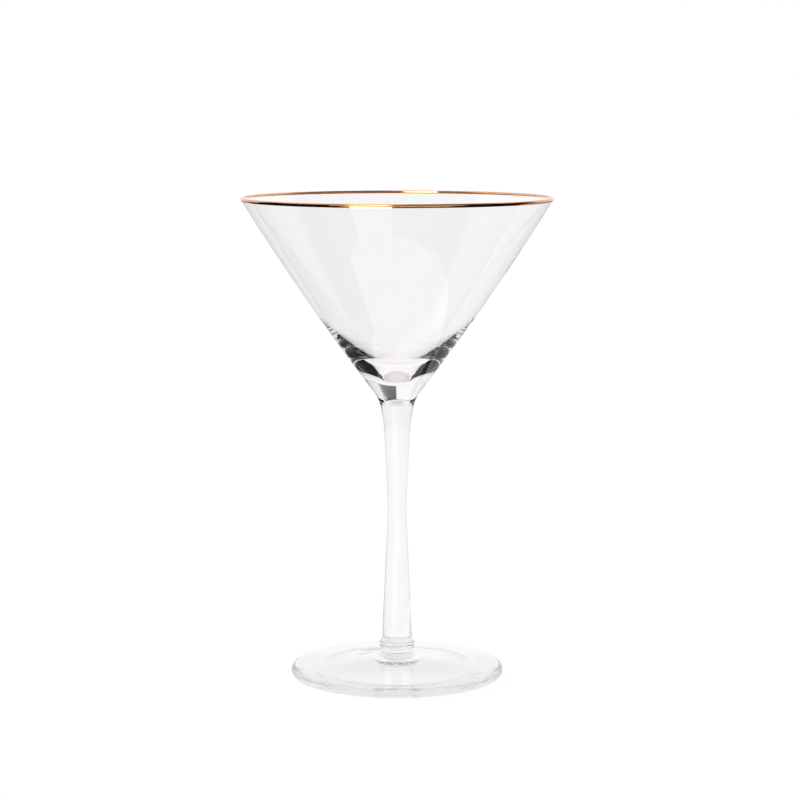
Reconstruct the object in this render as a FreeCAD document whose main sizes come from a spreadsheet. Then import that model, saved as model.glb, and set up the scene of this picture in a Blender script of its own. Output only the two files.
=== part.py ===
"""Martini glass with a gilded rim: conical bowl, drawn stem, merese collar, domed foot and gold rim band.

Every sub-part is a lathe form about the Z axis, so each one is a PartDesign body with one half outline
on its XZ plane and one full revolution. Millimetres and degrees, +Z up, origin at the centre of the
resting plane under the foot. In an outline, the sketch's x is the radius and its y is the height.
"""

import FreeCAD, Part
import math
import os

import Sketcher
from FreeCAD import Vector

SIZES = {
    # overall
    "glass_height": 180.0,
    "rim_diameter": 116.0,
    "foot_diameter": 80.0,
    # gold band fired onto the lip
    "gold_thickness": 0.1,
    "gold_width": 0.4,
    # bowl
    "lip_thickness": 1.1,
    "lip_straight": 2.5,
    "rim_angle": 31.8,
    "shoulder_radius": 80.0,
    "well_radius": 11.0,
    "well_height": 113.0,
    "flare_radius": 14.0,
    # neck, where the bowl is fused to the stem
    "neck_height": 101.5,
    "neck_radius": 6.05,
    "neck_angle": 11.0,
    # stem
    "waist_height": 63.0,
    "waist_radius": 3.6,
    "waist_curve": 160.0,
    "neck_curve": 80.0,
    "lower_taper": 2.5,
    # collar
    "collar_top": 13.0,
    "collar_base": 9.7,
    "collar_radius": 6.6,
    "collar_round": 0.8,
    # foot
    "foot_edge": 3.6,
    "boss_radius": 5.8,
    "boss_fillet": 4.0,
    "recess_radius": 30.0,
    "recess_depth": 2.2,
}


def make_sheet(doc):
    """The driving dimensions, one row each: its name, its value and an alias that the sketches read."""
    sheet = doc.addObject("Spreadsheet::Sheet", "sizes")
    for row, (alias, value) in enumerate(SIZES.items(), start=1):
        sheet.set(f"A{row}", alias)
        sheet.set(f"B{row}", str(value))
        sheet.setAlias(f"B{row}", alias)
    doc.recompute()
    return sheet


def slope(angle):
    """Unit vector that climbs the wall and leans outwards by this angle from the vertical."""
    return Vector(math.sin(math.radians(angle)), math.cos(math.radians(angle)), 0)


def outward(angle):
    """Unit vector square to slope(angle), pointing away from the axis."""
    return Vector(math.cos(math.radians(angle)), -math.sin(math.radians(angle)), 0)


class Outline:
    """A closed half outline on a body's XZ plane: pieces in order, each starting where the last one ended."""

    def __init__(self, body, name, start):
        self.sketch = body.newObject("Sketcher::SketchObject", name)
        plane = next(f for f in body.Origin.OriginFeatures if f.Role == "XZ_Plane")
        self.sketch.AttachmentSupport = [(plane, "")]
        self.sketch.MapMode = "FlatFace"
        self.first = start
        self.pen = start
        self.ends = []

    def line(self, end):
        """A straight piece to end."""
        self.sketch.addGeometry(Part.LineSegment(self.pen, end), False)
        self.ends.append((1, 2))
        self.pen = end

    def arc(self, centre, end, clockwise=False):
        """A round piece to end about centre. A sketch arc always runs anticlockwise, so its ends may swap."""
        first, last = (end, self.pen) if clockwise else (self.pen, end)
        begin, finish = (math.atan2(p.y - centre.y, p.x - centre.x) for p in (first, last))
        circle = Part.Circle(centre, Vector(0, 0, 1), first.distanceToPoint(centre))
        self.sketch.addGeometry(Part.ArcOfCircle(circle, begin, finish), False)
        self.ends.append((2, 1) if clockwise else (1, 2))
        self.pen = end

    def close(self, smooth):
        """Joins the pieces end to start, tangent after each piece listed in smooth."""
        self.line(self.first)
        for piece, (_, end) in enumerate(self.ends):
            following = (piece + 1) % len(self.ends)
            start = self.ends[following][0]
            kind = "Tangent" if piece in smooth else "Coincident"
            self.sketch.addConstraint(Sketcher.Constraint(kind, piece, end, following, start))

    def keep(self, kind, *where):
        """A constraint without a size."""
        self.sketch.addConstraint(Sketcher.Constraint(kind, *where))

    def size(self, name, kind, expression, *where):
        """A named dimension that follows an expression of the sheet's cells."""
        index = self.sketch.addConstraint(Sketcher.Constraint(kind, *where, self.measure(kind, where)))
        self.sketch.renameConstraint(index, name)
        self.sketch.setExpression(f"Constraints.{name}", expression)

    def measure(self, kind, where):
        """The value that the drawn geometry has now."""
        if kind == "Radius":
            return self.sketch.Geometry[where[0]].Radius
        if kind == "Distance":
            return self.sketch.Geometry[where[0]].length()
        if kind == "Angle":
            across = [self.direction(piece, end) for piece, end in zip(where[::2], where[1::2])]
            return across[0].getAngle(across[1])
        from_point, to_point = (self.point(where[:2]), self.point(where[2:]))
        along = to_point - from_point
        return along.x if kind == "DistanceX" else along.y

    def point(self, reference):
        """A referenced point, with the origin for the sketch's own root."""
        piece, end = reference
        return Vector(0, 0, 0) if piece < 0 else self.sketch.getPoint(piece, end)

    def direction(self, piece, end):
        """A straight piece's direction away from one of its ends, or the vertical axis's."""
        if piece < 0:
            return Vector(0, 1, 0)
        return self.sketch.getPoint(piece, 3 - end) - self.sketch.getPoint(piece, end)


# references to a sketch's own origin and axes, and to the points of a piece
ROOT = (-1, 1)
GROUND = -1
AXIS = -2
START = 1
CENTRE = 3


def end_of(outline, piece):
    """Reference to the point where a piece ends."""
    return (piece, outline.ends[piece][1])


def start_of(outline, piece):
    """Reference to the point where a piece starts."""
    return (piece, outline.ends[piece][0])


def lathe(body, outline):
    """Turns the outline once round the body's vertical axis."""
    turned = body.newObject("PartDesign::Revolution", outline.sketch.Name + "_turned")
    turned.Profile = outline.sketch
    turned.ReferenceAxis = (outline.sketch, ["V_Axis"])
    turned.Angle = 360
    outline.sketch.Visibility = False
    return turned


def meeting(centre, radius, other_centre, other_radius):
    """The point at these distances from two centres, to the right of the way from one to the other."""
    way = other_centre - centre
    along = (way.dot(way) + radius**2 - other_radius**2) / (2 * way.Length)
    aside = math.sqrt(radius**2 - along**2)
    unit = way / way.Length
    return centre + unit * along + Vector(unit.y, -unit.x, 0) * aside


def new_body(doc, label):
    """An empty body at the shared origin."""
    body = doc.addObject("PartDesign::Body", label)
    body.Label = label
    body.Placement = FreeCAD.Placement()
    return body


def lip_centre(s):
    """Centre of the rounded lip, inside its gold skin."""
    round_with_gold = s.lip_thickness / 2 + s.gold_thickness
    return Vector(s.rim_diameter / 2 - round_with_gold, s.glass_height - round_with_gold, 0)


def size_lip(outline, piece):
    """Dimensions the height and radius of the lip's centre, which piece is drawn about."""
    skin = "(sizes.lip_thickness / 2 + sizes.gold_thickness)"
    outline.size("lip_centre_radius", "DistanceX", f"sizes.rim_diameter / 2 - {skin}", *ROOT, piece, CENTRE)
    outline.size("lip_centre_height", "DistanceY", f"sizes.glass_height - {skin}", *ROOT, piece, CENTRE)


def make_bowl(doc, s):
    """Blown bowl: a slightly convex cone of even wall that thickens into a solid base over a short neck."""
    lean = outward(s.rim_angle)
    lip = lip_centre(s)
    lip_round = s.lip_thickness / 2
    lip_outer = lip + lean * lip_round
    lip_inner = lip - lean * lip_round
    down = slope(s.rim_angle) * -s.lip_straight
    neck = Vector(s.neck_radius, s.neck_height, 0)

    # outer wall: one arc, tangent to the straight lip above and to the flare over the neck below
    flare_centre = neck + outward(s.neck_angle) * s.flare_radius
    reach = lip_outer + down - flare_centre
    wall_radius = (reach.dot(reach) - s.flare_radius**2) / (2 * (reach.dot(lean) + s.flare_radius))
    wall_centre = lip_outer + down - lean * wall_radius
    flare_top = flare_centre + (wall_centre - flare_centre).normalize() * s.flare_radius

    # inside: an arc that keeps the wall even, then a wide shoulder, tangent to it, that thickens the wall
    # down to a small round well
    well = Vector(0, s.well_height, 0)
    well_centre = well + Vector(0, s.well_radius, 0)
    inner_radius = wall_radius - s.lip_thickness
    shoulder_centre = meeting(
        well_centre, s.shoulder_radius - s.well_radius, wall_centre, inner_radius - s.shoulder_radius
    )
    shoulder_top = wall_centre + (shoulder_centre - wall_centre).normalize() * inner_radius
    well_edge = shoulder_centre + (well_centre - shoulder_centre).normalize() * s.shoulder_radius

    body = new_body(doc, "bowl")
    outline = Outline(body, "bowl_outline", Vector(0, s.neck_height, 0))
    outline.line(neck)
    outline.arc(flare_centre, flare_top, clockwise=True)
    outline.arc(wall_centre, lip_outer + down)
    outline.line(lip_outer)
    outline.arc(lip, lip_inner)
    outline.line(lip_inner + down)
    outline.arc(wall_centre, shoulder_top, clockwise=True)
    outline.arc(shoulder_centre, well_edge, clockwise=True)
    outline.arc(well_centre, well, clockwise=True)
    outline.close(smooth=[1, 2, 3, 4, 5, 6, 7])
    joint_face, flare, outer_wall, lip_outside, lip_arc, lip_inside, inner_wall, shoulder, well_arc = range(9)
    outline.keep("Horizontal", joint_face)
    outline.keep("PointOnObject", *start_of(outline, joint_face), AXIS)
    outline.keep("PointOnObject", *end_of(outline, well_arc), AXIS)
    outline.keep("PointOnObject", well_arc, CENTRE, AXIS)
    outline.keep("Parallel", lip_outside, lip_inside)
    outline.keep("Coincident", outer_wall, CENTRE, inner_wall, CENTRE)
    neck_end = end_of(outline, joint_face)
    outline.size("neck_height", "DistanceY", "sizes.neck_height", *ROOT, *neck_end)
    outline.size("neck_radius", "DistanceX", "sizes.neck_radius", *ROOT, *neck_end)
    outline.size("flare_radius", "Radius", "sizes.flare_radius", flare)
    drop = "sizes.flare_radius * sin(sizes.neck_angle * 1 deg)"
    outline.size("flare_drop", "DistanceY", drop, flare, CENTRE, *neck_end)
    outline.size("lip_straight", "Distance", "sizes.lip_straight", lip_outside)
    outline.size("rim_angle", "Angle", "sizes.rim_angle", lip_outside, START, AXIS, START)
    outline.size("lip_round", "Radius", "sizes.lip_thickness / 2", lip_arc)
    size_lip(outline, lip_arc)
    outline.size("well_height", "DistanceY", "sizes.well_height", *ROOT, *end_of(outline, well_arc))
    outline.size("well_radius", "Radius", "sizes.well_radius", well_arc)
    outline.size("shoulder_radius", "Radius", "sizes.shoulder_radius", shoulder)
    lathe(body, outline)
    return body


def make_gold_rim(doc, s):
    """Gold band: a thin skin of even thickness over the lip and the top of both walls."""
    lean = outward(s.rim_angle)
    lip = lip_centre(s)
    glass = lean * (s.lip_thickness / 2)
    skin = lean * (s.lip_thickness / 2 + s.gold_thickness)
    down = slope(s.rim_angle) * -s.gold_width

    body = new_body(doc, "gold_rim")
    outline = Outline(body, "gold_outline", lip + glass + down)
    outline.line(lip + skin + down)
    outline.line(lip + skin)
    outline.arc(lip, lip - skin)
    outline.line(lip - skin + down)
    outline.line(lip - glass + down)
    outline.line(lip - glass)
    outline.arc(lip, lip + glass, clockwise=True)
    outline.close(smooth=[1, 2, 5, 6])
    outer_hem, outer_face, skin_arc, inner_face, inner_hem, inner_back, glass_arc, outer_back = range(8)
    outline.keep("Perpendicular", outer_hem, outer_face)
    outline.keep("Perpendicular", inner_hem, inner_face)
    outline.keep("Parallel", outer_face, inner_face)
    outline.keep("Parallel", outer_face, outer_back)
    outline.keep("Parallel", inner_face, inner_back)
    outline.keep("Coincident", skin_arc, CENTRE, glass_arc, CENTRE)
    outline.keep("Equal", outer_face, inner_face)
    outline.size("gold_width", "Distance", "sizes.gold_width", outer_face)
    outline.size("rim_angle", "Angle", "sizes.rim_angle", outer_face, START, AXIS, START)
    outline.size("glass_round", "Radius", "sizes.lip_thickness / 2", glass_arc)
    outline.size("skin_round", "Radius", "sizes.lip_thickness / 2 + sizes.gold_thickness", skin_arc)
    size_lip(outline, skin_arc)
    lathe(body, outline)
    return body


def make_stem(doc, s):
    """Drawn stem: round, waisted, with a long straight taper each way and a quick flare at the neck."""
    waist_centre = Vector(s.waist_radius + s.waist_curve, s.waist_height, 0)
    neck = Vector(s.neck_radius, s.neck_height, 0)
    neck_centre = neck + outward(s.neck_angle) * s.neck_curve

    # upper taper: the straight line that is tangent to the waist's arc and to the neck's arc
    between = waist_centre - neck_centre
    turn = math.acos((s.waist_curve - s.neck_curve) / between.Length)
    upper_taper = math.degrees(-turn - math.atan2(between.y, between.x))
    upper_start = waist_centre - outward(upper_taper) * s.waist_curve
    upper_end = neck_centre - outward(upper_taper) * s.neck_curve

    # lower taper: tangent to the waist's arc, down to the collar
    lower_start = waist_centre - outward(-s.lower_taper) * s.waist_curve
    along = (lower_start.y - s.collar_top) / math.cos(math.radians(s.lower_taper))
    base = lower_start - slope(-s.lower_taper) * along

    body = new_body(doc, "stem")
    outline = Outline(body, "stem_outline", Vector(0, s.collar_top, 0))
    outline.line(base)
    outline.line(lower_start)
    outline.arc(waist_centre, upper_start, clockwise=True)
    outline.line(upper_end)
    outline.arc(neck_centre, neck, clockwise=True)
    outline.line(Vector(0, s.neck_height, 0))
    outline.close(smooth=[1, 2, 3])
    foot_face, lower, waist, _, neck_arc, bowl_face = range(6)
    outline.keep("Horizontal", foot_face)
    outline.keep("Horizontal", bowl_face)
    outline.keep("PointOnObject", *start_of(outline, foot_face), AXIS)
    outline.keep("PointOnObject", *end_of(outline, bowl_face), AXIS)
    neck_end = end_of(outline, neck_arc)
    outline.size("collar_top", "DistanceY", "sizes.collar_top", *ROOT, *end_of(outline, foot_face))
    outline.size("waist_curve", "Radius", "sizes.waist_curve", waist)
    outline.size("waist_height", "DistanceY", "sizes.waist_height", *ROOT, waist, CENTRE)
    reach = "sizes.waist_radius + sizes.waist_curve"
    outline.size("waist_reach", "DistanceX", reach, *ROOT, waist, CENTRE)
    outline.size("lower_taper", "Angle", "sizes.lower_taper", AXIS, START, lower, START)
    outline.size("neck_height", "DistanceY", "sizes.neck_height", *ROOT, *neck_end)
    outline.size("neck_radius", "DistanceX", "sizes.neck_radius", *ROOT, *neck_end)
    outline.size("neck_curve", "Radius", "sizes.neck_curve", neck_arc)
    drop = "sizes.neck_curve * sin(sizes.neck_angle * 1 deg)"
    outline.size("neck_drop", "DistanceY", drop, neck_arc, CENTRE, *neck_end)
    lathe(body, outline)
    return body


def make_foot_collar(doc, s):
    """Merese: the small round-edged wafer of glass between the stem and the foot."""
    body = new_body(doc, "foot_collar")
    outline = Outline(body, "collar_outline", Vector(0, s.collar_base, 0))
    outline.line(Vector(s.collar_radius, s.collar_base, 0))
    outline.line(Vector(s.collar_radius, s.collar_top, 0))
    outline.line(Vector(0, s.collar_top, 0))
    outline.close(smooth=[])
    lower_face, side, upper_face = range(3)
    outline.keep("Horizontal", lower_face)
    outline.keep("Horizontal", upper_face)
    outline.keep("Vertical", side)
    outline.keep("PointOnObject", *start_of(outline, lower_face), AXIS)
    outline.keep("PointOnObject", *end_of(outline, upper_face), AXIS)
    outline.size("collar_radius", "DistanceX", "sizes.collar_radius", *ROOT, *end_of(outline, lower_face))
    outline.size("collar_base", "DistanceY", "sizes.collar_base", *ROOT, *end_of(outline, lower_face))
    outline.size("collar_top", "DistanceY", "sizes.collar_top", *ROOT, *end_of(outline, side))
    turned = lathe(body, outline)
    doc.recompute()
    corners = [f"Edge{i}" for i, edge in enumerate(turned.Shape.Edges, start=1) if is_corner(edge)]
    rounded = body.newObject("PartDesign::Fillet", "collar_rounded")
    rounded.Base = (turned, corners)
    rounded.setExpression("Radius", "sizes.collar_round")
    return body


def is_corner(edge):
    """True for a full circle, which on a plain disc is a corner between its side and a flat face."""
    return isinstance(edge.Curve, Part.Circle) and edge.isClosed()


def make_foot(doc, s):
    """Pressed foot: shallow cone with a filleted boss, a full round edge and a dished underside."""
    edge_round = s.foot_edge / 2
    edge_centre = Vector(s.foot_diameter / 2 - edge_round, edge_round, 0)
    boss = Vector(s.boss_radius, s.collar_base, 0)
    fillet_centre = boss + Vector(s.boss_fillet, 0, 0)
    between = edge_centre - fillet_centre
    span = s.boss_fillet + edge_round
    fall = math.acos(span / between.Length) - math.atan2(between.x, -between.y)
    upward = Vector(math.sin(fall), math.cos(fall), 0)
    ring_inner = Vector(s.recess_radius, 0, 0)
    recess_top = Vector(0, s.recess_depth, 0)
    recess_curve = (s.recess_radius**2 + s.recess_depth**2) / (2 * s.recess_depth)
    recess_centre = recess_top - Vector(0, recess_curve, 0)

    body = new_body(doc, "foot")
    outline = Outline(body, "foot_outline", recess_top)
    outline.arc(recess_centre, ring_inner, clockwise=True)
    outline.line(Vector(edge_centre.x, 0, 0))
    outline.arc(edge_centre, edge_centre + upward * edge_round)
    outline.line(fillet_centre - upward * s.boss_fillet)
    outline.arc(fillet_centre, boss, clockwise=True)
    outline.line(Vector(0, s.collar_base, 0))
    outline.close(smooth=[1, 2, 3])
    recess, ring, edge, _, fillet, boss_face = range(6)
    outline.keep("Horizontal", ring)
    outline.keep("Horizontal", boss_face)
    outline.keep("PointOnObject", *start_of(outline, recess), AXIS)
    outline.keep("PointOnObject", recess, CENTRE, AXIS)
    outline.keep("PointOnObject", *end_of(outline, boss_face), AXIS)
    outline.keep("PointOnObject", *start_of(outline, ring), GROUND)
    outline.size("recess_depth", "DistanceY", "sizes.recess_depth", *ROOT, *start_of(outline, recess))
    outline.size("recess_radius", "DistanceX", "sizes.recess_radius", *ROOT, *start_of(outline, ring))
    outline.size("edge_round", "Radius", "sizes.foot_edge / 2", edge)
    reach = "(sizes.foot_diameter - sizes.foot_edge) / 2"
    outline.size("edge_reach", "DistanceX", reach, *ROOT, edge, CENTRE)
    outline.size("boss_radius", "DistanceX", "sizes.boss_radius", *ROOT, *end_of(outline, fillet))
    outline.size("boss_height", "DistanceY", "sizes.collar_base", *ROOT, *end_of(outline, fillet))
    outline.size("boss_fillet", "Radius", "sizes.boss_fillet", fillet)
    outline.keep("Horizontal", *end_of(outline, fillet), fillet, CENTRE)
    lathe(body, outline)
    return body


def check(doc, bodies):
    """Stops before anything is written if a feature failed or a sub-part is not one valid solid."""
    for item in doc.Objects:
        if {"Invalid", "Error"} & set(item.State):
            raise RuntimeError(f"{item.Label} failed: {item.State}")
        if item.isDerivedFrom("Sketcher::SketchObject") and not item.FullyConstrained:
            raise RuntimeError(f"{item.Label} is not fully constrained")
    for body in bodies:
        shape = body.Shape
        if shape.isNull() or not shape.isValid() or len(shape.Solids) != 1:
            raise RuntimeError(f"{body.Label} is not one valid solid")


def write_parts(bodies):
    """One STEP file per sub-part, named by its label."""
    os.makedirs("parts", exist_ok=True)
    for body in bodies:
        body.Shape.exportStep(f"parts/{body.Label}.step")
        box = body.Shape.optimalBoundingBox()
        print(f"{body.Label}: {body.Shape.Volume / 1000:.2f} cm3, z {box.ZMin:.2f} to {box.ZMax:.2f} mm")


def main():
    doc = FreeCAD.newDocument("martini_glass")
    sheet = make_sheet(doc)
    makers = [make_bowl, make_gold_rim, make_stem, make_foot_collar, make_foot]
    bodies = [make(doc, sheet) for make in makers]
    doc.recompute()
    check(doc, bodies)
    write_parts(bodies)


main()
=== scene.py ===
"""Martini glass with a gilded rim, for Blender 4.5: lathe-turned clear glass, gold band, pale studio.

Lengths are in metres and angles in degrees. Every piece is a body of revolution about the frame's Z axis.
"""

import math

import bpy
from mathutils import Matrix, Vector


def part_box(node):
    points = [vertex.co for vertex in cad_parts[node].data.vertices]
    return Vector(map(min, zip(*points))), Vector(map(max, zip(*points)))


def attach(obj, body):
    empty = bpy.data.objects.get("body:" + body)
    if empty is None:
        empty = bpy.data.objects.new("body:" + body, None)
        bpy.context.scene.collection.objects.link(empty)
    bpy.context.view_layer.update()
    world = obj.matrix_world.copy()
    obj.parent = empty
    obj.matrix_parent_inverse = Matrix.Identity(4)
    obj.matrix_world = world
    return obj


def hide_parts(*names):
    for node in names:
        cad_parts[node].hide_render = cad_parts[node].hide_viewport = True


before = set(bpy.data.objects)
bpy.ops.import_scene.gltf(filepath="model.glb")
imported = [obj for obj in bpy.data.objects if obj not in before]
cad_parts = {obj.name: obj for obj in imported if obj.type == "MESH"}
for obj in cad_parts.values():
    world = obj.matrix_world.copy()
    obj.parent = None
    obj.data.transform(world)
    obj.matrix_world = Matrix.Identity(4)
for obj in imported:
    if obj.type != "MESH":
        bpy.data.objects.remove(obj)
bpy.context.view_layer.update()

MM = 0.001

# Sizes that the frame gives
RIM_RADIUS = (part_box("gold_rim")[1].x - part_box("gold_rim")[0].x) / 2
GLASS_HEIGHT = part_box("gold_rim")[1].z
FOOT_RADIUS = (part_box("foot")[1].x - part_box("foot")[0].x) / 2
NECK_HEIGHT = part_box("stem")[1].z
COLLAR_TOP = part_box("foot_collar")[1].z
COLLAR_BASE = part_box("foot_collar")[0].z
COLLAR_RADIUS = (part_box("foot_collar")[1].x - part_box("foot_collar")[0].x) / 2

# Sizes that the outlines repeat from the part's own sheet
GOLD_THICKNESS = 0.1 * MM
GOLD_WIDTH = 0.4 * MM
LIP_THICKNESS = 1.1 * MM
LIP_STRAIGHT = 2.5 * MM
RIM_ANGLE = 31.8
SHOULDER_RADIUS = 80.0 * MM
WELL_RADIUS = 11.0 * MM
WELL_HEIGHT = 113.0 * MM
FLARE_RADIUS = 14.0 * MM
NECK_RADIUS = 6.05 * MM
NECK_ANGLE = 11.0
WAIST_HEIGHT = 63.0 * MM
WAIST_RADIUS = 3.6 * MM
WAIST_CURVE = 160.0 * MM
NECK_CURVE = 80.0 * MM
LOWER_TAPER = 2.5
COLLAR_ROUND = 0.8 * MM
FOOT_EDGE = 3.6 * MM
BOSS_RADIUS = 5.8 * MM
BOSS_FILLET = 4.0 * MM
RECESS_RADIUS = 30.0 * MM
RECESS_DEPTH = 2.2 * MM

# How finely the lathe turns an outline
TURNS = 256
ARC_STEP = 3.0
LONGEST_SPAN = 2.0 * MM
SHARP_ANGLE = 30.0
TOUCHING = 0.001 * MM

# The glass stands a hair above the floor sheet, as it does on paper
FLOOR = -0.05 * MM

# Camera, at the height and distance that set how round the rim and the foot look
CAMERA_DISTANCE = 0.882
CAMERA_HEIGHT = 0.2193
CAMERA_AIM = Vector((0.0011, 0, 0.1043))
CAMERA_LENS = 107.1

# Glass. Its absorption in each metre is BODY_DENSITY times one minus BODY_COLOUR.
GLASS_IOR = 1.52
GLASS_COLOUR = (0.99, 0.976, 0.979, 1)
BODY_DENSITY = 2.0
BODY_COLOUR = (0.66, 0.6, 0.6, 1)
WAVE_SIZE = 9 * MM
WAVE_STRETCH = 3.0
WAVE_HEIGHT = 0.02 * MM
POLISH_SIZE = 3 * MM
POLISH_SHARE = (0.62, 0.8)
POLISH_ROUGHNESS = 0.012

# Gold, thin in places
GOLD_COLOUR = (0.86, 0.44, 0.20, 1)
THIN_GOLD_COLOUR = (0.76, 0.33, 0.15, 1)
THIN_SIZE = 2.5 * MM
THIN_SHARE = (0.4, 0.7)
GOLD_ROUGHNESS = 0.06
THIN_GOLD_ROUGHNESS = 0.12
BRUSH_SIZE = 0.5 * MM
BRUSH_STRETCH = 0.3
BRUSH_HEIGHT = 0.001 * MM

# The sky, by azimuth from +Y towards +X and by height above level. A range with soft edges gives where it
# begins, where it ends and how wide its edges are. A loss is the share of the light that is taken away.
BACK_AZIMUTHS = (-88, 62, 16)
FRONT_HEIGHTS = (9, 16)
FRONT_LOSS = 0.75
DIM_AZIMUTHS = (-6, 6, 18)
DIM_HEIGHTS = (20, 26, 12)
DIM_LOSS = 0.33

# A dark panel overhead, given on a ceiling one metre up: across is along X and along is along Y
PANEL_ACROSS = (0.04, 0.6, 0.03)
PANEL_ALONG = (-0.02, 0.8, 0.05)
PANEL_HEIGHTS = (40, 46)
PANEL_LOSS = 0.92

FLOOR_HALF = 8.0
FLOOR_COLOUR = (0.15, 0.15, 0.15, 1)
FLOOR_GLOW = 0.93
FLOOR_ROUGHNESS = 0.6

# Cards that show only in reflections, in metres and degrees
BLACK = 0.004
GREY = 0.3
PALE = 0.8
SIDE_CARD_X = 0.6
SIDE_CARD_Y = (-0.54, 0.29)
SIDE_CARD_Z = (0.04, 0.62)
CARD_LIFT = 0.5 * MM
CARD_SPANS = 24
FLOOR_CARDS = (
    # begin, end, inner radius, outer radius, tone
    (-140, -125, 0.125, 1.5, BLACK),
    (-125, -40, 0.075, 1.5, BLACK),
    (-40, -12, 0.075, 0.3, BLACK),
    (-40, -12, 0.3, 1.5, PALE),
    (12, 70, 0.14, 1.5, PALE),
    (25, 75, 0.075, 0.12, BLACK),
    (70, 140, 0.12, 1.5, BLACK),
    (140, 184, 0.117, 0.4, GREY),
)

# The two lights that only the gold sees
GLOW = 8.0
SKY_GLOW_AZIMUTHS = (-174, -134)
SKY_GLOW_HEIGHTS = (44, 62)
SKY_DISTANCE = 8.0
FLOOR_GLOW_CARD = (185, 220, 0.09, 0.19)

# Light goes in and out of many clear faces before it leaves the glass
LIGHT_BOUNCES = 48


def slope(angle):
    """Unit vector that climbs a wall leaning outwards by this angle. x is the radius and y the height."""
    return Vector((math.sin(math.radians(angle)), math.cos(math.radians(angle))))


def outward(angle):
    """Unit vector square to slope(angle), away from the axis."""
    return Vector((math.cos(math.radians(angle)), -math.sin(math.radians(angle))))


def meeting(centre, radius, other_centre, other_radius):
    """The point at these distances from two centres, to the right of the way from one to the other."""
    way = other_centre - centre
    along = (way.dot(way) + radius**2 - other_radius**2) / (2 * way.length)
    aside = math.sqrt(radius**2 - along**2)
    unit = way.normalized()
    return centre + unit * along + Vector((unit.y, -unit.x)) * aside


class Outline:
    """A half outline of lines and arcs, kept as closely spaced points with a label for each span."""

    def __init__(self, start):
        self.points = [Vector(start)]
        self.labels = []

    def line(self, end, label="glass"):
        """A straight stretch to end."""
        start = self.points[-1]
        end = Vector(end)
        spans = max(1, math.ceil((end - start).length / LONGEST_SPAN))
        for i in range(1, spans + 1):
            self.points.append(start.lerp(end, i / spans))
            self.labels.append(label)

    def arc(self, centre, end, label="glass"):
        """A round stretch to end about centre, the short way round."""
        first = self.points[-1] - Vector(centre)
        last = Vector(end) - Vector(centre)
        begin = math.atan2(first.y, first.x)
        turn = math.remainder(math.atan2(last.y, last.x) - begin, math.tau)
        by_angle = math.ceil(abs(math.degrees(turn)) / ARC_STEP)
        by_length = math.ceil(abs(turn) * first.length / LONGEST_SPAN)
        spans = max(by_angle, by_length)
        for i in range(1, spans + 1):
            angle = begin + turn * i / spans
            self.points.append(Vector(centre) + first.length * Vector((math.cos(angle), math.sin(angle))))
            self.labels.append(label)


def turned_points(outline):
    """The points of the turned outline, and a ring of their numbers for each point of the outline."""
    verts = []
    rings = []
    for point in outline.points:
        count = 1 if point.x < TOUCHING else TURNS
        rings.append([len(verts) + i for i in range(count)])
        for i in range(count):
            angle = math.tau * i / TURNS
            verts.append((point.x * math.cos(angle), point.x * math.sin(angle), point.y))
    if (outline.points[0] - outline.points[-1]).length < TOUCHING:
        del verts[rings[-1][0]:]
        rings[-1] = rings[0]
    return verts, rings


def faces_between(lower, upper):
    """The faces between two rings, either of which may be a single point on the axis."""
    faces = []
    for i in range(TURNS):
        j = (i + 1) % TURNS
        below = [lower[k % len(lower)] for k in (i, j)]
        above = [upper[k % len(upper)] for k in (j, i)]
        faces.append(list(dict.fromkeys(below + above)))
    return faces


def turned(name, outline, materials):
    """A closed mesh: the outline turned once round the axis, one material for each label in it."""
    verts, rings = turned_points(outline)
    labels = list(materials)
    faces = []
    slots = []
    for label, lower, upper in zip(outline.labels, rings, rings[1:]):
        band = faces_between(lower, upper)
        faces.extend(band)
        slots.extend([labels.index(label)] * len(band))
    mesh = bpy.data.meshes.new(name)
    mesh.from_pydata(verts, [], faces)
    for label in labels:
        mesh.materials.append(materials[label])
    mesh.polygons.foreach_set("material_index", slots)
    mesh.shade_smooth()
    mesh.set_sharp_from_angle(angle=math.radians(SHARP_ANGLE))
    piece = bpy.data.objects.new(name, mesh)
    bpy.context.scene.collection.objects.link(piece)
    return piece


def lip_centre():
    """Centre of the rounded lip, inside its gold skin."""
    inset = LIP_THICKNESS / 2 + GOLD_THICKNESS
    return Vector((RIM_RADIUS - inset, GLASS_HEIGHT - inset))


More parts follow.
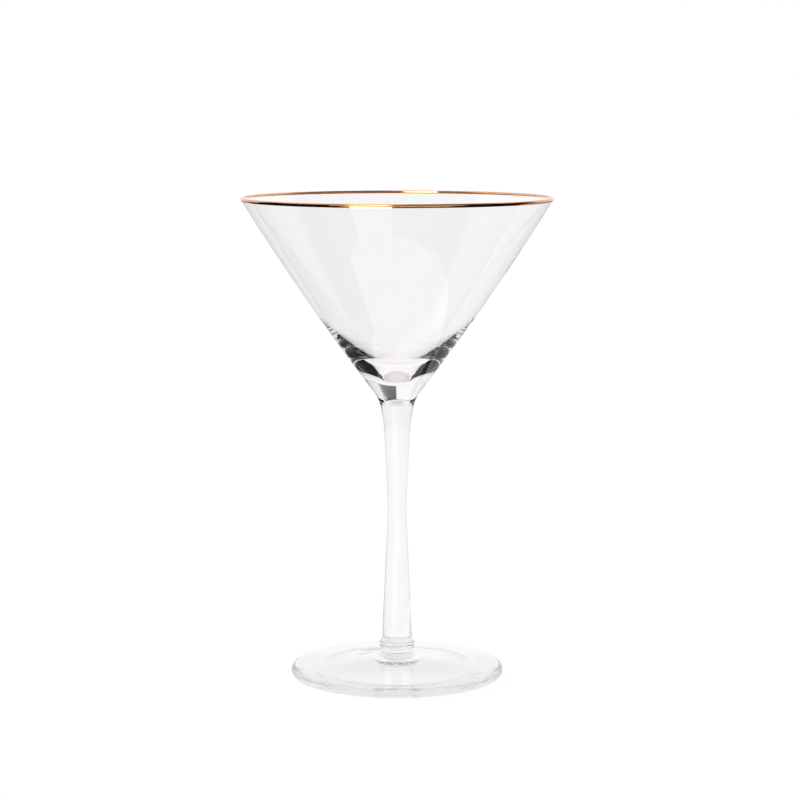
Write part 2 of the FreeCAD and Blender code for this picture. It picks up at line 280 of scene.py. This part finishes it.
def bowl_outline():
    """Neck face, flare, convex wall, gilded lip, even inner wall, shoulder and small round well."""
    lean = outward(RIM_ANGLE)
    lip = lip_centre()
    lip_outer = lip + lean * LIP_THICKNESS / 2
    lip_inner = lip - lean * LIP_THICKNESS / 2
    down = slope(RIM_ANGLE) * -LIP_STRAIGHT
    hem = slope(RIM_ANGLE) * -GOLD_WIDTH
    neck = Vector((NECK_RADIUS, NECK_HEIGHT))

    flare_centre = neck + outward(NECK_ANGLE) * FLARE_RADIUS
    reach = lip_outer + down - flare_centre
    wall_radius = (reach.dot(reach) - FLARE_RADIUS**2) / (2 * (reach.dot(lean) + FLARE_RADIUS))
    wall_centre = lip_outer + down - lean * wall_radius
    flare_top = flare_centre + (wall_centre - flare_centre).normalized() * FLARE_RADIUS

    well_centre = Vector((0, WELL_HEIGHT + WELL_RADIUS))
    inner_radius = wall_radius - LIP_THICKNESS
    shoulder_centre = meeting(
        well_centre, SHOULDER_RADIUS - WELL_RADIUS, wall_centre, inner_radius - SHOULDER_RADIUS
    )
    shoulder_top = wall_centre + (shoulder_centre - wall_centre).normalized() * inner_radius
    well_edge = shoulder_centre + (well_centre - shoulder_centre).normalized() * SHOULDER_RADIUS

    outline = Outline((0, NECK_HEIGHT))
    outline.line(neck, "fused")
    outline.arc(flare_centre, flare_top)
    outline.arc(wall_centre, lip_outer + down)
    outline.line(lip_outer + hem)
    outline.line(lip_outer, "fused")
    outline.arc(lip, lip + slope(RIM_ANGLE) * LIP_THICKNESS / 2, "fused")
    outline.arc(lip, lip_inner, "fused")
    outline.line(lip_inner + hem, "fused")
    outline.line(lip_inner + down)
    outline.arc(wall_centre, shoulder_top)
    outline.arc(shoulder_centre, well_edge)
    outline.arc(well_centre, (0, WELL_HEIGHT))
    return outline


def gold_outline():
    """A skin of even thickness over the lip and the top of both walls."""
    lean = outward(RIM_ANGLE)
    climb = slope(RIM_ANGLE)
    lip = lip_centre()
    glass = LIP_THICKNESS / 2
    skin = glass + GOLD_THICKNESS
    down = climb * -GOLD_WIDTH
    outline = Outline(lip + lean * glass + down)
    outline.line(lip + lean * skin + down, "gold")
    outline.line(lip + lean * skin, "gold")
    outline.arc(lip, lip + climb * skin, "gold")
    outline.arc(lip, lip - lean * skin, "gold")
    outline.line(lip - lean * skin + down, "gold")
    outline.line(lip - lean * glass + down, "gold")
    outline.line(lip - lean * glass, "gold")
    outline.arc(lip, lip + climb * glass, "gold")
    outline.arc(lip, lip + lean * glass, "gold")
    outline.line(lip + lean * glass + down, "gold")
    return outline


def stem_base():
    """Where the lower taper starts on the waist's arc, and where it ends on the collar."""
    waist_centre = Vector((WAIST_RADIUS + WAIST_CURVE, WAIST_HEIGHT))
    start = waist_centre - outward(-LOWER_TAPER) * WAIST_CURVE
    along = (start.y - COLLAR_TOP) / math.cos(math.radians(LOWER_TAPER))
    return start, start - slope(-LOWER_TAPER) * along


def stem_outline():
    """Lower taper, waist, upper taper and neck."""
    waist_centre = Vector((WAIST_RADIUS + WAIST_CURVE, WAIST_HEIGHT))
    neck = Vector((NECK_RADIUS, NECK_HEIGHT))
    neck_centre = neck + outward(NECK_ANGLE) * NECK_CURVE
    between = waist_centre - neck_centre
    turn = math.acos((WAIST_CURVE - NECK_CURVE) / between.length)
    upper_taper = math.degrees(-turn - math.atan2(between.y, between.x))
    lower_start, base = stem_base()
    outline = Outline((0, COLLAR_TOP))
    outline.line(base, "fused")
    outline.line(lower_start)
    outline.arc(waist_centre, waist_centre - outward(upper_taper) * WAIST_CURVE)
    outline.line(neck_centre - outward(upper_taper) * NECK_CURVE)
    outline.arc(neck_centre, neck)
    outline.line((0, NECK_HEIGHT), "fused")
    return outline


def collar_outline():
    """A round-edged wafer."""
    flat = COLLAR_RADIUS - COLLAR_ROUND
    low = Vector((flat, COLLAR_BASE + COLLAR_ROUND))
    high = Vector((flat, COLLAR_TOP - COLLAR_ROUND))
    reach = Vector((COLLAR_ROUND, 0))
    outline = Outline((0, COLLAR_BASE))
    outline.line((BOSS_RADIUS, COLLAR_BASE), "fused")
    outline.arc(low, low + reach)
    outline.line(high + reach)
    outline.arc(high, (flat, COLLAR_TOP))
    outline.line(stem_base()[1])
    outline.line((0, COLLAR_TOP), "fused")
    return outline


def foot_outline():
    """Dished underside, resting ring, round edge, shallow cone and filleted boss."""
    edge_round = FOOT_EDGE / 2
    edge_centre = Vector((FOOT_RADIUS - edge_round, edge_round))
    boss = Vector((BOSS_RADIUS, COLLAR_BASE))
    fillet_centre = boss + Vector((BOSS_FILLET, 0))
    between = edge_centre - fillet_centre
    fall = math.acos((BOSS_FILLET + edge_round) / between.length) - math.atan2(between.x, -between.y)
    upward = Vector((math.sin(fall), math.cos(fall)))
    recess_curve = (RECESS_RADIUS**2 + RECESS_DEPTH**2) / (2 * RECESS_DEPTH)
    outline = Outline((0, RECESS_DEPTH))
    outline.arc((0, RECESS_DEPTH - recess_curve), (RECESS_RADIUS, 0))
    outline.line((edge_centre.x, 0))
    outline.arc(edge_centre, edge_centre + Vector((edge_round, 0)))
    outline.arc(edge_centre, edge_centre + upward * edge_round)
    outline.line(fillet_centre - upward * BOSS_FILLET)
    outline.arc(fillet_centre, boss)
    outline.line((0, COLLAR_BASE), "fused")
    return outline


class Graph:
    """A short way to write a node tree: a value is a number, a colour or another node's output."""

    def __init__(self, owner):
        owner.use_nodes = True
        self.tree = owner.node_tree
        self.tree.nodes.clear()

    def put(self, socket, value):
        """Links an output to the socket, or sets its number."""
        if isinstance(value, bpy.types.NodeSocket):
            self.tree.links.new(value, socket)
        else:
            socket.default_value = value

    def node(self, kind, **inputs):
        """A node with these inputs, written with _ for a space."""
        made = self.tree.nodes.new(kind)
        for name, value in inputs.items():
            self.put(made.inputs[name.replace("_", " ")], value)
        return made

    def math(self, operation, *values):
        """The result of one Math node."""
        made = self.tree.nodes.new("ShaderNodeMath")
        made.operation = operation
        for socket, value in zip(made.inputs, values):
            self.put(socket, value)
        return made.outputs["Value"]

    def ramp(self, value, low, high, bottom=0.0, top=1.0):
        """A smooth step from bottom, where value is low, to top, where it is high."""
        made = self.node("ShaderNodeMapRange", Value=value)
        made.interpolation_type = "SMOOTHSTEP"
        for name, number in zip(("From Min", "From Max", "To Min", "To Max"), (low, high, bottom, top)):
            made.inputs[name].default_value = number
        return made.outputs["Result"]

    def within(self, value, low, high, soft):
        """1 between low and high, falling to 0 over soft on each side."""
        rise = self.ramp(value, low - soft, low)
        fall = self.ramp(value, high, high + soft, 1.0, 0.0)
        return self.math("MULTIPLY", rise, fall)


def streaks(g, size, stretch):
    """Noise with spots of about this size, drawn out along the height by this much."""
    where = g.node("ShaderNodeTexCoord").outputs["Object"]
    space = g.node("ShaderNodeMapping", Vector=where)
    space.inputs["Scale"].default_value = (1 / size, 1 / size, 1 / size / stretch)
    noise = g.node("ShaderNodeTexNoise", Vector=space.outputs["Vector"], Scale=1.0, Detail=2.0)
    return noise.outputs["Fac"]


def glass_material():
    """Clear glass with the faint drawn waves of hand work and a trace of polish marks."""
    material = bpy.data.materials.new("clear_glass")
    g = Graph(material)
    height = streaks(g, WAVE_SIZE, WAVE_STRETCH)
    waves = g.node("ShaderNodeBump", Height=height, Strength=1.0, Distance=WAVE_HEIGHT)
    polish = g.ramp(streaks(g, POLISH_SIZE, 1.0), *POLISH_SHARE, 0.0, POLISH_ROUGHNESS)
    glass = g.node("ShaderNodeBsdfPrincipled", Transmission_Weight=1.0, IOR=GLASS_IOR)
    glass.inputs["Base Color"].default_value = GLASS_COLOUR
    g.put(glass.inputs["Roughness"], polish)
    g.put(glass.inputs["Normal"], waves.outputs["Normal"])
    g.node("ShaderNodeOutputMaterial", Surface=glass.outputs["BSDF"], Volume=body_colour(g))
    return material


def body_colour(g):
    """The slight grey of the glass where it is thick."""
    body = g.node("ShaderNodeVolumeAbsorption", Density=BODY_DENSITY)
    body.inputs["Color"].default_value = BODY_COLOUR
    return body.outputs["Volume"]


def fused_material():
    """The face where two pieces are one glass, or where the gold covers it: light goes straight through."""
    material = bpy.data.materials.new("fused_face")
    g = Graph(material)
    clear = g.node("ShaderNodeBsdfTransparent")
    g.node("ShaderNodeOutputMaterial", Surface=clear.outputs["BSDF"], Volume=body_colour(g))
    return material


def gold_material():
    """Fired gold lustre: brush marks, slightly redder and duller where it is thin."""
    material = bpy.data.materials.new("gold_lustre")
    g = Graph(material)
    thin = g.ramp(streaks(g, THIN_SIZE, BRUSH_STRETCH), *THIN_SHARE)
    tone = g.node("ShaderNodeMix")
    tone.data_type = "RGBA"
    g.put(tone.inputs["Factor"], thin)
    colours = [socket for socket in tone.inputs if socket.type == "RGBA"]
    colours[0].default_value = GOLD_COLOUR
    colours[1].default_value = THIN_GOLD_COLOUR
    gold = g.node("ShaderNodeBsdfPrincipled", Metallic=1.0)
    g.put(gold.inputs["Base Color"], [socket for socket in tone.outputs if socket.type == "RGBA"][0])
    g.put(gold.inputs["Roughness"], g.ramp(thin, 0.0, 1.0, GOLD_ROUGHNESS, THIN_GOLD_ROUGHNESS))
    height = streaks(g, BRUSH_SIZE, BRUSH_STRETCH)
    brush = g.node("ShaderNodeBump", Height=height, Strength=1.0, Distance=BRUSH_HEIGHT)
    g.put(gold.inputs["Normal"], brush.outputs["Normal"])
    g.node("ShaderNodeOutputMaterial", Surface=gold.outputs["BSDF"])
    return material


def make_pieces():
    """Every piece of the glass, each in place of the CAD node of its name."""
    glass = glass_material()
    clear = {"glass": glass, "fused": fused_material()}
    gilt = {"gold": gold_material()}
    kinds = {
        "bowl": (bowl_outline(), clear, "clear_glass"),
        "stem": (stem_outline(), clear, "clear_glass"),
        "foot_collar": (collar_outline(), clear, "clear_glass"),
        "foot": (foot_outline(), clear, "clear_glass"),
        "gold_rim": (gold_outline(), gilt, "gold_lustre"),
    }
    for node, (outline, materials, slot) in kinds.items():
        piece = turned(node + "_turned", outline, materials)
        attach(piece, "root")
        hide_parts(node)


def make_camera():
    """The camera, in front of the glass on the side of -Y."""
    data = bpy.data.cameras.new("camera")
    data.lens = CAMERA_LENS
    camera = bpy.data.objects.new("camera", data)
    bpy.context.scene.collection.objects.link(camera)
    camera.location = (0, -CAMERA_DISTANCE, CAMERA_HEIGHT)
    camera.rotation_mode = "QUATERNION"
    camera.rotation_quaternion = (CAMERA_AIM - camera.location).to_track_quat("-Z", "Y")
    bpy.context.scene.camera = camera


def make_world():
    """A pale sky, a little dimmer high behind the glass, darker above the camera, a dark panel overhead."""
    world = bpy.data.worlds.new("studio")
    bpy.context.scene.world = world
    g = Graph(world)
    where = g.node("ShaderNodeTexCoord").outputs["Generated"]
    x, y, z = g.node("ShaderNodeSeparateXYZ", Vector=where).outputs
    azimuth = g.math("DEGREES", g.math("ARCTAN2", x, y))
    height = g.math("DEGREES", g.math("ARCSINE", z))
    upward = g.math("MAXIMUM", z, 0.01)
    across = g.math("DIVIDE", x, upward)
    along = g.math("DIVIDE", y, upward)

    front = g.math("SUBTRACT", 1.0, g.within(azimuth, *BACK_AZIMUTHS))
    front = g.math("MULTIPLY", front, g.ramp(height, *FRONT_HEIGHTS))
    dim = g.math("MULTIPLY", g.within(azimuth, *DIM_AZIMUTHS), g.within(height, *DIM_HEIGHTS))
    panel = g.math("MULTIPLY", g.within(across, *PANEL_ACROSS), g.within(along, *PANEL_ALONG))
    panel = g.math("MULTIPLY", panel, g.ramp(height, *PANEL_HEIGHTS))
    light = g.math("MULTIPLY_ADD", dim, -DIM_LOSS, g.math("MULTIPLY_ADD", front, -FRONT_LOSS, 1.0))
    light = g.math("MULTIPLY", light, g.math("MULTIPLY_ADD", panel, -PANEL_LOSS, 1.0))
    background = g.node("ShaderNodeBackground", Strength=light)
    background.inputs["Color"].default_value = (1, 1, 1, 1)
    g.node("ShaderNodeOutputWorld", Surface=background.outputs["Background"])


def sheet(name, corners, material):
    """A flat sheet of one face, as part of the stage."""
    mesh = bpy.data.meshes.new(name)
    mesh.from_pydata(corners, [], [list(range(len(corners)))])
    mesh.materials.append(material)
    made = bpy.data.objects.new(name, mesh)
    bpy.context.scene.collection.objects.link(made)
    return made


def make_floor():
    """A sheet whose white is nearly all its own glow, so that the glass casts almost no shadow on it."""
    material = bpy.data.materials.new("floor")
    g = Graph(material)
    paper = g.node("ShaderNodeBsdfPrincipled", Roughness=FLOOR_ROUGHNESS, Specular_IOR_Level=0.0)
    paper.inputs["Base Color"].default_value = FLOOR_COLOUR
    paper.inputs["Emission Color"].default_value = (1, 1, 1, 1)
    paper.inputs["Emission Strength"].default_value = FLOOR_GLOW
    g.node("ShaderNodeOutputMaterial", Surface=paper.outputs["BSDF"])
    square = ((-1, -1), (1, -1), (1, 1), (-1, 1))
    sheet("floor", [(x * FLOOR_HALF, y * FLOOR_HALF, FLOOR) for x, y in square], material)


def paper_material(tone):
    """Matt paper that only light which has met a mirror-like face on its way can see."""
    material = bpy.data.materials.new("paper")
    g = Graph(material)
    paper = g.node("ShaderNodeBsdfDiffuse")
    paper.inputs["Color"].default_value = (tone, tone, tone, 1)
    path = g.node("ShaderNodeLightPath")
    mix = g.node("ShaderNodeMixShader", Fac=g.math("MINIMUM", path.outputs["Glossy Depth"], 1.0))
    g.put(mix.inputs[1], g.node("ShaderNodeBsdfTransparent").outputs["BSDF"])
    g.put(mix.inputs[2], paper.outputs["BSDF"])
    g.node("ShaderNodeOutputMaterial", Surface=mix.outputs["Shader"])
    return material


def glow_material():
    """A glow that adds its light to what is behind it."""
    material = bpy.data.materials.new("glow")
    g = Graph(material)
    both = g.node("ShaderNodeAddShader")
    g.put(both.inputs[0], g.node("ShaderNodeEmission", Strength=GLOW).outputs["Emission"])
    g.put(both.inputs[1], g.node("ShaderNodeBsdfTransparent").outputs["BSDF"])
    g.node("ShaderNodeOutputMaterial", Surface=both.outputs["Shader"])
    return material


def mirror_card(name, corners, material):
    """A sheet that the camera, the floor and the shadows don't see."""
    card = sheet(name, corners, material)
    card.visible_camera = False
    card.visible_diffuse = False
    card.visible_shadow = False
    return card


def floor_card(begin, end, inner, outer, material):
    """Part of a flat ring just over the floor, between two azimuths and two radii."""
    height = FLOOR + CARD_LIFT
    angles = [math.radians(begin + (end - begin) * i / CARD_SPANS) for i in range(CARD_SPANS + 1)]
    near = [(inner * math.sin(a), inner * math.cos(a), height) for a in angles]
    far = [(outer * math.sin(a), outer * math.cos(a), height) for a in reversed(angles)]
    card = mirror_card("floor_card", near + far, material)
    card.visible_transmission = False
    return card


def in_the_sky(azimuth, height):
    """The point of the sky in this direction."""
    a = math.radians(azimuth)
    h = math.radians(height)
    return Vector((math.sin(a) * math.cos(h), math.cos(a) * math.cos(h), math.sin(h))) * SKY_DISTANCE


def make_cards():
    """Paper to each side and on the floor, for the dark, grey and pale reflections in the glass."""
    papers = {tone: paper_material(tone) for tone in (BLACK, GREY, PALE)}
    near, far = SIDE_CARD_Y
    low, high = SIDE_CARD_Z
    for x in (-SIDE_CARD_X, SIDE_CARD_X):
        corners = [(x, near, low), (x, far, low), (x, far, high), (x, near, high)]
        mirror_card("side_card", corners, papers[BLACK])
    for *place, tone in FLOOR_CARDS:
        floor_card(*place, papers[tone])


def make_gold_lights():
    """Two lights that fall on the gold rim alone, for its bright glints."""
    lit = bpy.data.collections.new("lit_by_glow")
    lit.objects.link(bpy.data.objects["gold_rim_turned"])
    glow = glow_material()
    begin, end = SKY_GLOW_AZIMUTHS
    low, high = SKY_GLOW_HEIGHTS
    corners = [in_the_sky(*place) for place in ((begin, low), (end, low), (end, high), (begin, high))]
    for card in (mirror_card("sky_card", corners, glow), floor_card(*FLOOR_GLOW_CARD, glow)):
        card.light_linking.receiver_collection = lit


def set_light_paths():
    """Enough bounces for clear glass, and colours shown as they are."""
    scene = bpy.context.scene
    scene.view_settings.view_transform = "Standard"
    scene.cycles.max_bounces = LIGHT_BOUNCES
    scene.cycles.glossy_bounces = LIGHT_BOUNCES
    scene.cycles.transmission_bounces = LIGHT_BOUNCES
    scene.cycles.transparent_max_bounces = LIGHT_BOUNCES


make_camera()
make_pieces()
make_world()
make_floor()
make_cards()
make_gold_lights()
set_light_paths()
